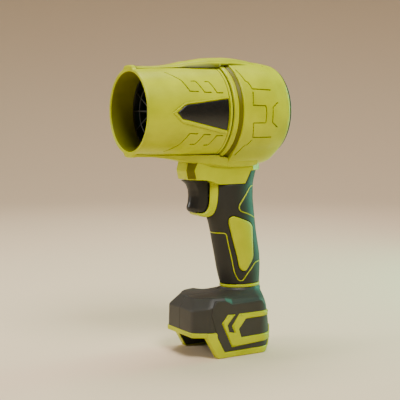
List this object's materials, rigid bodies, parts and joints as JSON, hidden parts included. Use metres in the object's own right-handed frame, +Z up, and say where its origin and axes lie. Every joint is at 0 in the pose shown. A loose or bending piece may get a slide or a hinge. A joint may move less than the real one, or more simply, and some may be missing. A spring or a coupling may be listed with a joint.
{
  "type": "leaf blower",
  "caption": "Handheld cordless jet-fan blower: round head with tapered outlet nozzle, pistol grip with squeeze trigger, and a foot that takes a slide-on battery.",
  "frame": {"origin": "floor level under the middle of the overall box, with the foot's side legs standing on Z = 0", "axes": "+X forward along the air stream, +Y to the left across the tool, +Z up"},
  "size_m": [0.154, 0.0956, 0.2852],
  "materials": {
    "lime_plastic": "fine-textured lime green moulding",
    "olive_trim": "satin dark olive moulding",
    "charcoal_grip": "soft-touch charcoal overmould",
    "black_plastic": "black glass-filled nylon",
    "black_insert": "semi-gloss black inlay",
    "seal_rubber": "black rubber",
    "trigger_plastic": "satin black",
    "fan_plastic": "black nylon",
    "motor_metal": "turned",
    "steel": "zinc plated",
    "brass": "stamped contact",
    "board": "coated circuit board",
    "wire": "wire insulation"
  },
  "bodies": {
    "shell": {"nozzle_tube": "lime_plastic", "nozzle_insert_left": "black_insert", "nozzle_insert_right": "black_insert", "nozzle_seal": "seal_rubber", "lock_collar": "lime_plastic", "trim_ring": "olive_trim", "motor_housing_left": "lime_plastic", "motor_housing_right": "lime_plastic", "spine_top": "lime_plastic", "spine_bottom": "lime_plastic", "intake_grille": "black_plastic", "grille_screws": "steel", "outlet_guard": "black_plastic", "motor_mount": "black_plastic", "motor_can": "motor_metal", "front_bearing": "steel", "rear_bearing": "steel", "motor_screws": "steel", "nose_cone": "black_plastic", "handle_left": "lime_plastic", "handle_right": "lime_plastic", "handle_screws": "steel", "grip_skin_left": "charcoal_grip", "grip_skin_right": "charcoal_grip", "grip_panel_left": "lime_plastic", "grip_panel_right": "lime_plastic", "grip_ring": "lime_plastic", "trigger_spring": "steel", "switch_body": "black_plastic", "foot_shell_left": "charcoal_grip", "foot_shell_right": "charcoal_grip", "foot_trim_left": "lime_plastic", "foot_trim_right": "lime_plastic", "foot_badge_left": "lime_plastic", "foot_badge_right": "lime_plastic", "foot_screws": "steel", "terminal_block": "black_plastic", "terminal_blades": "brass", "controller_board": "board", "battery_leads": "wire", "motor_leads": "wire"},
    "rotor": {"fan_impeller": "fan_plastic", "fan_nut": "steel", "motor_shaft": "steel", "motor_rotor": "motor_metal"},
    "trigger": {"trigger": "trigger_plastic", "switch_plunger": "steel"}
  },
  "joints": [
    {"name": "fan_spin", "type": "hinge", "parent": "shell", "child": "rotor", "pos_m": [0, 0, 0.234], "axis": [1, 0, 0], "continuous": true},
    {"name": "trigger_pull", "type": "slide", "parent": "shell", "child": "trigger", "axis": [-1, 0, 0], "range_m": [0, 0.006], "stiffness_N_per_m": 500, "springref_m": -0.004, "deforming": ["trigger_spring"]}
  ]
}
